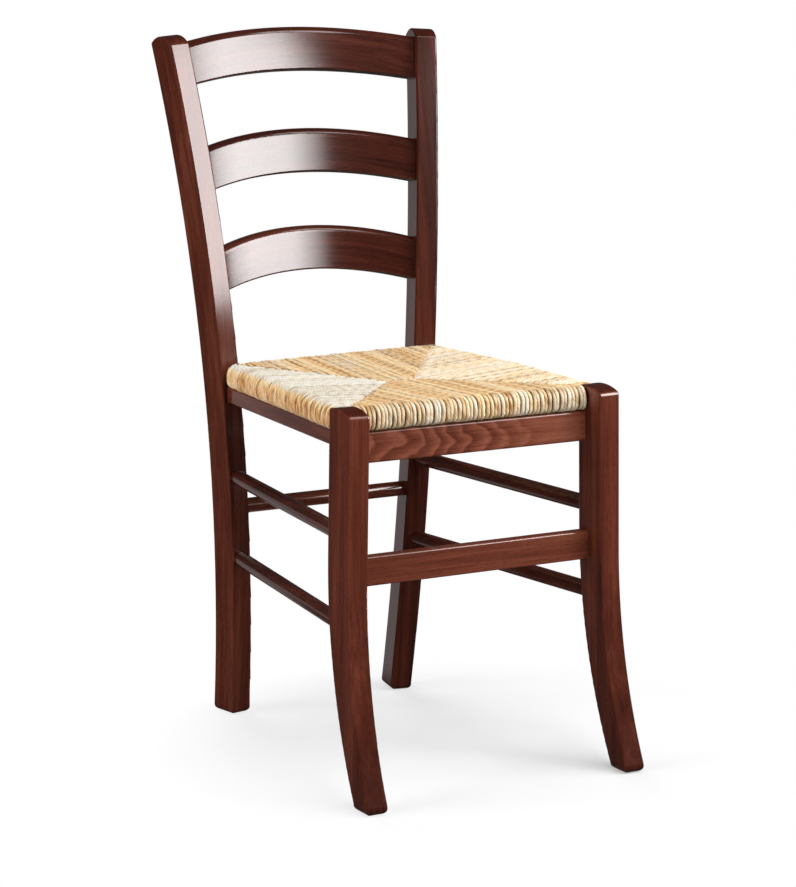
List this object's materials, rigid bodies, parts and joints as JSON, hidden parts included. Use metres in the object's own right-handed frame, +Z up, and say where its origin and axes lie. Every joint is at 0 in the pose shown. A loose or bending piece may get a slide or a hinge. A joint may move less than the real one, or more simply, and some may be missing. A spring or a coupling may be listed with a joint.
{
  "type": "rush seat chair",
  "caption": "Ladder back dining chair in dark stained wood with bowed slats, sabre front legs, round side rungs and a woven rush seat on its own frame.",
  "frame": {"origin": "on the floor, below the middle of the chair's width and depth", "axes": "+Z up, -Y towards the front of the chair, +X to the right of someone who looks at its front"},
  "size_m": [0.399, 0.5786, 0.8797],
  "materials": {
    "stained_beech": "dark mahogany stain under gloss lacquer",
    "bare_beech": "planed, no finish",
    "rush": "twisted rush, hand woven",
    "stuffing": "packed rush offcuts",
    "screw_steel": "zinc plated"
  },
  "bodies": {
    "root": {"front_leg_left": "stained_beech", "front_leg_right": "stained_beech", "rear_post_left": "stained_beech", "rear_post_right": "stained_beech", "top_slat": "stained_beech", "middle_slat": "stained_beech", "lower_slat": "stained_beech", "front_seat_rail": "stained_beech", "rear_seat_rail": "stained_beech", "left_seat_rail": "stained_beech", "right_seat_rail": "stained_beech", "front_stretcher": "stained_beech", "left_upper_rung": "stained_beech", "left_lower_rung": "stained_beech", "right_upper_rung": "stained_beech", "right_lower_rung": "stained_beech", "rear_rung": "stained_beech", "rush_frame_front_bar": "bare_beech", "rush_frame_rear_bar": "bare_beech", "rush_frame_left_bar": "bare_beech", "rush_frame_right_bar": "bare_beech", "rush_seat": "rush", "seat_stuffing": "stuffing", "seat_screws": "screw_steel"}
  },
  "joints": []
}
